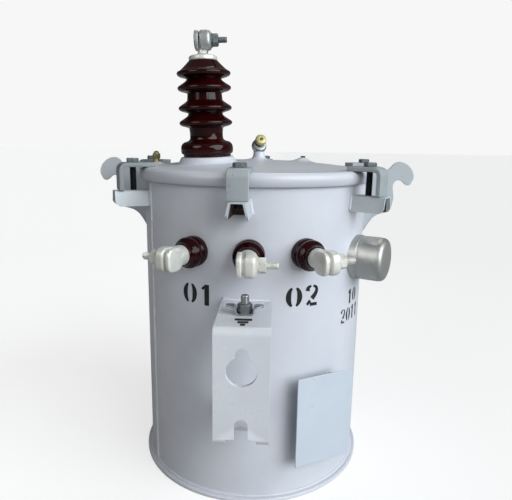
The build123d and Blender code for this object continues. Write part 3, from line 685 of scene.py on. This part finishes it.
def stencil_stroke(name, line, width, azimuth, height):
    """A stroke of ink on the wall: its line's two edges lie half its width away, and both are
    bent round the tank, where the angle is the distance along over the radius."""
    ahead = unit(np.gradient(line, axis=0))
    edge = np.stack([-ahead[:, 1], ahead[:, 0]], 1) * width[:, None] / 2
    sides = np.stack([line - edge, line + edge, line + edge, line - edge], 1)
    radius = TANK + np.array([0.25, 0.25, -0.4, -0.4])
    angle = radians(azimuth) + sides[:, :, 0] / TANK
    rows = np.stack([radius * np.sin(angle), -radius * np.cos(angle), height + sides[:, :, 1]], 2)
    return grid_piece(name, rows, INK)


def smooth_max(a, b, blend):
    """The greater of two heights, eased over blend where they cross."""
    share = np.clip(0.5 + 0.5 * (a - b) / blend, 0, 1)
    return b * (1 - share) + a * share + blend * share * (1 - share)


def hv_axis():
    """The tall bushing's direction: it leans away from the cover's middle."""
    return unit([*(unit(HV[:2]) * sin(HV_LEAN)), cos(HV_LEAN)])


def cover_height(reach, x, y):
    """The cover's height at points: a sphere's cap on the flat rim, eased up to the bushing's
    tilted pad with sides that fall by 2.1, and raised by bell-shaped bosses."""
    rise = DOME_TOP - FLAT
    sphere = (DOME**2 + rise**2) / (2 * rise)
    dome = np.sqrt(np.maximum(sphere**2 - reach**2, 0)) - (sphere - DOME_TOP)
    height = smooth_max(dome, np.full_like(dome, FLAT), 1.5)[:, None] + 0 * x
    apart = np.hypot(x - HV[0], y - HV[1])
    lean = hv_axis()
    pad = HV[2] - ((x - HV[0]) * lean[0] + (y - HV[1]) * lean[1]) / lean[2]
    side = pad - np.maximum(apart - HV_PAD, 0) * 2.1
    blend = 7.0
    eased = smooth_max(side, height, blend)
    height = eased * (side > height - blend) + height * (side <= height - blend)
    filler = outward(FILLER_AZIMUTH) * FILLER_REACH
    for spot, tall, wide in ((BOSS, 8.5, 15.0), (VENT, 6.0, 17.0), (filler, 8.0, 12.0)):
        bell = np.exp(-(((x - spot[0]) ** 2 + (y - spot[1]) ** 2) / wide**2))
        height = height + tall * bell
    return height


def cover():
    """One pressed sheet: the domed top and flat rim, a rounded corner, and a lip that rolls in
    with the square of the way down it."""
    reach = np.concatenate([np.linspace(0.5, DOME + 5, 118),
                            np.linspace(DOME + 6.5, LIP - ROLL, 6)])
    angle = np.linspace(0, TURN, 360, endpoint=False)
    x, y = reach[:, None] * np.sin(angle), -reach[:, None] * np.cos(angle)
    top = np.stack([x, y, cover_height(reach, x, y)], 2)
    turn = np.linspace(0, pi / 2, 9)[1:]
    down = np.linspace(FLAT - ROLL, LIP_FOOT, 9)[1:]
    tuck = ((FLAT - ROLL - down) / (FLAT - ROLL - LIP_FOOT)) ** 2 * LIP_TUCK
    edge = np.concatenate([LIP - ROLL + ROLL * np.sin(turn), LIP - tuck])[:, None]
    edge_height = np.concatenate([FLAT - ROLL + ROLL * np.cos(turn), down])[:, None]
    x, y = edge * np.sin(angle), -edge * np.cos(angle)
    rows = np.concatenate([top, np.stack([x, y, edge_height + 0 * x], 2)])
    faces = grid_faces(len(rows), len(angle))
    faces.append(list(range(len(angle)))[::-1])
    piece = make_piece("pressed_cover", rows.reshape(-1, 3), faces, ENAMEL)
    if piece.data.polygons[0].normal.z < 0:
        piece.data.flip_normals()
    wall = piece.modifiers.new("sheet", "SOLIDIFY")
    wall.thickness = SHEET * MM
    wall.offset = -1
    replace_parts(piece, "tank_cover")
    tip = softened([(0, 0), (4.5, 0), (4.5, 3.5), (0, 3.5)], 1.2)
    lathe("boss_tip", tip, BOSS + UP * BOSS_TIP, UP, BLACK_STEEL, 32)


# Bushings and terminals

# An eyebolt terminal's parts: stem is a radius, barrel is half the barrel's width, disc and
# groove are lengths along it, and power is that of the barrel's ring
Terminal = namedtuple("Terminal", "stem stem_length barrel length disc groove nut nut_height "
                      "screw reach material nut_material power")
TALL = Terminal(stem=7.5, stem_length=7.5, barrel=15.8, length=28, disc=8, groove=1.2, nut=18,
                nut_height=11, screw=5, reach=14, material=GREY_TIN, nut_material=DARK_ZINC,
                power=2.6)
SHORT = Terminal(stem=15.5, stem_length=14, barrel=17.4, length=29, disc=8.5, groove=3.5,
                 nut=20, nut_height=12.5, screw=5.5, reach=17, material=TINNED,
                 nut_material=TINNED, power=3.2)


def terminal(name, base, up, aim, size, node):
    """An eyebolt terminal: stem, a barrel with a groove for the lead, washer, nut and screw."""
    barrel, length, disc = size.barrel, size.length, size.disc
    start = base + up * (size.stem_length + barrel - 1) - aim * length / 2
    body = disc + size.groove
    line = [(0, 0), (barrel - 5, 0), (barrel - 0.3, 1.2), (barrel, disc / 2),
            (barrel - 0.3, disc - 1.2), (barrel - 2.5, disc), (barrel * 0.7, disc + 0.3),
            (barrel * 0.7, body - 0.3), (barrel - 2.5, body), (barrel, body + 1.5),
            (barrel, length - 5), (barrel - 2, length - 1.5), (barrel - 5.5, length), (0, length)]
    line = softened(line, 2.2, steps=6)
    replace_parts(lathe(name, line, start, aim, size.material, power=size.power), node)
    stem, stem_length = size.stem, size.stem_length
    neck = [(0, -1), (stem, -1), (stem, stem_length - 1), (stem * 0.97, stem_length + 4),
            (stem * 0.85, stem_length + barrel * 0.7), (0, stem_length + barrel * 0.7)]
    lathe(name + "_neck", softened(neck, 1.5), base, up, size.material, 72)
    end = start + aim * length
    thick, wide = 1.6, size.nut * 0.62
    washer = softened([(0, -0.5), (wide, -0.5), (wide, thick), (0, thick)], 0.5)
    lathe(name + "_washer", washer, end, aim, size.nut_material, 64)
    hex_nut(name + "_nut", size.nut, size.nut_height - thick, end + aim * thick, aim,
            size.nut_material)
    threaded_rod(name + "_screw", size.screw, size.reach + 3, end + aim * (size.nut_height - 3),
                 aim, size.nut_material)


def tall_bushing():
    """Porcelain turned from one profile: foot, fat flange, core and four lens-shaped sheds,
    the highest of which runs up into the neck under the cap."""
    core, rim = 28.4, 44.5
    lower = [(24, -28), (24, 0.2), (40, 0.2), (40.5, 4), (43.6, 6.5), (44.3, 13), (43.2, 19.5),
             (39, 24), (32, 26.5), (core, 30), (27.8, 38), (core, 45)]
    profile = [softened(lower[:4], 0.8), flowing(lower[3:])[1:]]
    for h in SHEDS:
        shed = [(core + 0.3, h - 8.5), (33, h - 6.8), (39.5, h - 5), (43.3, h - 2.8), (rim, h),
                (43.2, h + 2.8)]
        if h < SHEDS[-1]:
            shed += [(38.5, h + 6), (33, h + 9.6), (29.6, h + 12.6)]
        else:
            shed += [(38.5, h + 5.6), (33, h + 10.5), (27, h + 16.5), (23.6, HV_TOP - 1),
                     (22, HV_TOP)]
        profile.append(flowing(shed))
    axis = hv_axis()
    porcelain = lathe("tall_porcelain", np.concatenate(profile), HV, axis, TALL_GLAZE, 144)
    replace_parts(porcelain, "hv_bushing")
    cap = [(0, -1), (23, -1), (23.6, 1.5), (23, 5.5), (20.5, 7), (11, 8), (8.6, 10), (7.6, 14),
           (7.6, 22), (0, 22)]
    cap = [(radius, HV_TOP + height) for radius, height in cap]
    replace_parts(lathe("tall_bushing_cap", softened(cap, 1.5), HV, axis, TINNED), "hv_cap")
    right = unit(np.cross([0, 1, 0], axis))
    base = HV + axis * (HV_TOP + 8) + right * 1.5
    terminal("tall_terminal", base, axis, right, TALL, "hv_terminal")


def short_bushings():
    """Three short porcelains with two beads each, and their terminals. The left terminal
    points to the left and the other two to the right."""
    beads = [(0, -10), (13.8, -10), (13.8, -1), (24, -1), (24.4, 3), (24, 9), (22.3, 11.5),
             (22.2, 13), (23.8, 15.5), (24, 20), (22.5, 23.5), (19.5, 27.5), (17.8, 31),
             (17.3, 34.5), (16.6, 36), (0, 36)]
    line = np.concatenate([softened(beads[:5], 0.8)[:-1], flowing(beads[4:-1]), beads[-1:]])
    for number, azimuth, side in zip((1, 2, 3), LV_AZIMUTHS, (-1, 1, 1)):
        out = outward(azimuth)
        base = out * TANK + UP * LV_Z
        porcelain = lathe(f"short_porcelain_{number}", line, base, out, SHORT_GLAZE)
        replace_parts(porcelain, f"lv_bushing_{number}")
        terminal(f"short_terminal_{number}", out * LV_FACE + UP * LV_Z, out,
                 across(azimuth) * side, SHORT, f"lv_terminal_{number}")


# Clamps, hooks and bracket

def rim_lug(place, azimuth):
    """A channel on the wall, with rust and painted shade inside it and on the wall behind it. Over
    its last 9 mm its lower edges rise with the square of the way, and a weld runs up each side."""
    out, side = outward(azimuth), across(azimuth)
    outer = [(-16, 0), (-11.5, LUG_HEIGHT), (11.5, LUG_HEIGHT), (16, 0)]
    inner = [(13, 0), (8.6, LUG_HEIGHT - 3), (-8.6, LUG_HEIGHT - 3), (-13, 0)]
    channel = np.concatenate([softened(outer, 4), softened(inner, 2)])
    reach = np.linspace(TANK - 6, LUG_END, 30)
    path = out * reach[:, None] + UP * LUG_FOOT
    rows = path[:, None] + channel[None, :, :1] * side + channel[None, :, 1:] * UP
    lift = np.clip((reach - (LUG_END - 9)) / 9, 0, 1) ** 2 * 7
    rows[:, :, 2] += lift[:, None] * (1 - channel[None, :, 1] / LUG_HEIGHT)
    lug = grid_piece(f"rim_lug_{place}", rows, BRUSHED_ENAMEL)
    # A thin sheet of rust and painted shade on the wall under the lug's roof
    pocket = outwards(np.radians(azimuth + np.linspace(-3.6, 3.6, 15)))
    low = pocket * (TANK + 0.4) + UP * (LUG_FOOT + 1)
    high = pocket * (TANK + 0.4) + UP * (LUG_TOP - 4)
    rust_and_shade_sheet = np.stack([low, high, high - pocket * 0.8, low - pocket * 0.8], 1)
    grid_piece(f"lug_pocket_{place}", rust_and_shade_sheet, RUST_AND_SHADE)
    # The channel's inner faces take the same rust and painted shade
    lug.data.materials.append(RUST_AND_SHADE)
    face = np.arange(len(lug.data.polygons))
    column = face % len(channel)
    inside = (column >= len(channel) // 2) & (column < len(channel) - 1)
    inside &= face < len(channel) * (len(reach) - 4)
    lug.data.polygons.foreach_set("material_index", inside.astype(np.int32))
    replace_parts(lug, f"clamp_lug_{place}")
    for hand, letter in ((-1, "a"), (1, "b")):
        rise = np.linspace(0.1, 0.96, 34)
        turn = radians(azimuth) + hand * (16.6 - 4.5 * rise) / TANK
        root = outwards(turn) * (TANK + 0.8)
        root = root + (LUG_FOOT + rise * LUG_HEIGHT)[:, None] * UP
        # The welds take the lighter glossy enamel: a painted highlight on the lug's roots
        weld_bead(f"lug_weld_{place}_{letter}", root, GLOSSY_HIGHLIGHT_ENAMEL, 2.4, 2.2)


def clamps():
    """Six clamps round the rim: a channel lug, a bent strap, and a bolt with its nut."""
    top, end = STRAP_TOP - STRAP_THICKNESS / 2, STRAP_END - STRAP_THICKNESS / 2
    bend = softened([(DOME + 5, top), (end, top), (end, LUG_TOP + 0.1)], 11, steps=12)
    section = box_outline(STRAP_WIDTH, STRAP_THICKNESS, 1.6)
    for place, azimuth in CLAMPS.items():
        rim_lug(place, azimuth)
        out, side = outward(azimuth), across(azimuth)
        line = out * bend[:, :1] + UP * bend[:, 1:]
        # The left and rear left clamps take the darker enamel: painted shade, as the key light
        # comes from the right
        finish = SHADED_CLAMP_ENAMEL if "left" in place else CLAMP_ENAMEL
        strap = swept(f"rim_strap_{place}", line, section, side, finish, 1.0)
        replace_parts(strap, f"cover_clamp_{place}")
        spot = out * BOLT
        shank = threaded_rod(f"rim_bolt_{place}", 5.5, 63, spot + UP * (STRAP_TOP + 6), -UP,
                             BLACK_STEEL)
        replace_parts(shank, f"clamp_bolt_{place}")
        hex_nut(f"rim_nut_{place}", 18, 7, spot + UP * STRAP_TOP, UP, DARK_ZINC)
        hex_nut(f"rim_head_{place}", 14, 8, spot + UP * (LUG_TOP - 12), UP, BLACK_STEEL)


# A hook plate's outline, out from the wall and up from the wall's top
HOOK = [(1, -108), (5, -104), (12, -91), (20, -80), (30, -73), (42, -70), (50, -68),
        (54.5, -55), (56.6, -40), (54.5, -28), (53.4, -20), (56.5, -11), (62.8, -9.2),
        (69, -11), (73.3, -16), (79, -19.5), (85, -17.5), (90.2, -7), (90.4, 0), (86, 11),
        (78, 18.8), (69, 23.4), (60.2, 23.9), (53, 20), (47, 12.5), (42.9, 9.2), (36, 11),
        (28.8, 14.4), (21, 16.5), (14, 17), (13, 0), (12.5, -17), (1, -17)]
HOOK_THICKNESS = 6


def hooks():
    """Flat hook plates on the tank's sides, with small welds along their roots."""
    outline = softened(HOOK, 4, closed=True)
    z = np.arange(TANK_TOP - 106, TANK_TOP - 18, 0.9)
    level = np.ones_like(z)
    for place, side in (("right", 1), ("left", -1)):
        plate = slab(f"hook_plate_{place}", outline, HOOK_THICKNESS,
                     np.array([side * TANK, 0, TANK_TOP]), np.array([side, 0.0, 0.0]), UP,
                     BRUSHED_ENAMEL, 1.2)
        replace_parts(plate, f"lifting_hook_{place}")
        for edge, face in ((-1, "front"), (1, "rear")):
            line = np.stack([level * side * (TANK + 0.6), level * edge * 3.6, z], 1)
            weld_bead(f"hook_weld_{place}_{face}", line, ENAMEL, 2.2, 2.2)


def bracket():
    """The bent bracket with its keyhole, eased along every edge, and its ground terminal: a
    stud with two nuts, and a leaf that dips between two wings and gets narrower outwards."""
    eased_copy("hanger_bracket", "bent_bracket", 0.9, GLOSSY_HIGHLIGHT_ENAMEL)
    leaf = softened([(-26.5, 12.4), (-20, 12.2), (-13.5, 11), (-11.4, 1.5), (11.4, 1.5),
                     (13.5, 11), (20, 12.2), (26.5, 12.4)], 3)
    line = GROUND + leaf[:, :1] * across(0) + (BRACKET_TOP + leaf[:, 1:]) * UP
    clip = swept("ground_leaf", line, box_outline(18, 2.4, 0.8), outward(0), ZINC, 0.8, 0.6)
    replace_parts(clip, "ground_clip")
    under = GROUND + UP * (BRACKET_TOP - 12.5)
    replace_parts(threaded_rod("ground_rod", 6, 40.5, under, UP, ZINC), "ground_stud")
    hex_nut("ground_nut", 19, 13, GROUND + UP * (BRACKET_TOP + 3), UP, ZINC)
    hex_nut("ground_lower_nut", 19, 6.5, under, UP, ZINC)
    for number, (wide, reach) in enumerate(((24, 285.5), (15, 295.5), (7, 305))):
        slab(f"earth_bar_{number}", box_outline(wide, 8, 1.5), 0.5,
             np.array([BRACKET_X, -reach, BRACKET_TOP]), np.array([1.0, 0, 0]),
             np.array([0, 1.0, 0]), INK, 0.2)
    angle = np.radians(np.linspace(-10.6, 10.6, 95) + BRACKET_X / TANK * DEGREES)
    for place, height in (("top", BRACKET_TOP + 0.4), ("foot", BRACKET_FOOT - 0.4)):
        line = outwards(angle) * (TANK + 0.8) + UP * height
        weld_bead(f"bracket_weld_{place}", line, GLOSSY_HIGHLIGHT_ENAMEL, 2.6, 2.6, ripple=3.2)


# Fittings

def vent():
    """A flared neck, a round head that faces forwards and up, its brass plug and a ring."""
    neck = [(19, 555.5), (15, 558.5), (11.6, 562.5), (10.3, 567), (10, 572)]
    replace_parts(lathe("vent_neck", flowing(neck), VENT, UP, ENAMEL, 64), "vent_stub")
    aim = unit([0.2, -0.85, 0.48])
    head = [(0, -13), (6, -12), (10.4, -8.8), (12.9, -4), (13.3, 0), (12.3, 4.4), (10.6, 7.2),
            (0, 7.2)]
    body = lathe("vent_body", flowing(head), VENT + UP * 582, aim, ZINC, 64)
    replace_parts(body, "vent_head")
    centre = VENT + np.array([1.2, 0, 587.5])
    plug = [(0, 6), (9, 6), (9.8, 7), (9.8, 12.5), (8.6, 14.4), (3.4, 15), (2.4, 13.5), (2.0, 9),
            (0, 8.8)]
    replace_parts(lathe("vent_brass", softened(plug, 0.7), centre, aim, BRASS, 64), "vent_plug")
    turn = np.linspace(0, TURN, 49)[:-1]
    hang = centre + aim * 4 + np.array([-6.5, 0, -9.0])
    right = unit(np.cross(aim, UP))
    lower = np.cross(right, aim)
    ring = hang + 8.0 * (np.cos(turn)[:, None] * right + np.sin(turn)[:, None] * lower)
    tube = np.linspace(0, TURN, 9)[:-1][None, :, None]
    spoke = unit(ring - hang)[:, None]
    rows = ring[:, None] + 0.8 * (np.cos(tube) * spoke + np.sin(tube) * aim)
    grid_piece("vent_pull_ring", rows, TINNED, loop_rows=True)


def filler():
    """The small brass filler plug near the cover's left edge."""
    spot = outward(FILLER_AZIMUTH) * FILLER_REACH
    collar = [(0, 548), (8.2, 548), (5.6, 553), (4.6, 558), (0, 558)]
    lathe("filler_collar", softened(collar, 1), spot, UP, AGED_BRASS, 48)
    nut = hex_nut("filler_hexagon", 12, 9, spot + UP * 557.5, UP, AGED_BRASS)
    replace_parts(nut, "filler_plug")
    tip = flowing([(5.2, 565.5), (4.6, 568), (3.2, 570), (0.6, 571)])
    lathe("filler_tip", tip, spot, UP, AGED_BRASS, 48)


def round_cap():
    """A spun can with a bead near its foot, on its collar."""
    out = outward(CAP_AZIMUTH)
    base = out * CAP_REACH + UP * CAP_Z
    ring = [(0, -19.5), (37.6, -19.5), (37.9, -12), (38.1, -3), (37.8, 0.4), (36.5, 1), (0, 1)]
    collar = lathe("cap_collar", softened(ring, 1.2), base, out, SPUN, 128)
    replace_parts(collar, "side_cap_collar")
    can = [(0, 0), (37, 0), (37.2, 3), (36.5, 4.5), (37, 6), (37, 32), (36.2, 38), (33.3, 42.4),
           (28, 44.6), (0, 45)]
    can = np.concatenate([softened(can[:6], 0.8), flowing(can[5:9]), can[9:]])
    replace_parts(lathe("round_cap", can, base, out, SPUN, 128), "side_cap")


set_camera()
set_floor()
set_world()
set_lamps()
tank()
cover()
tall_bushing()
short_bushings()
clamps()
hooks()
bracket()
vent()
filler()
round_cap()
eased_copy("side_panel", "bare_plate", 0.6, BLUE_ENAMEL, 2)
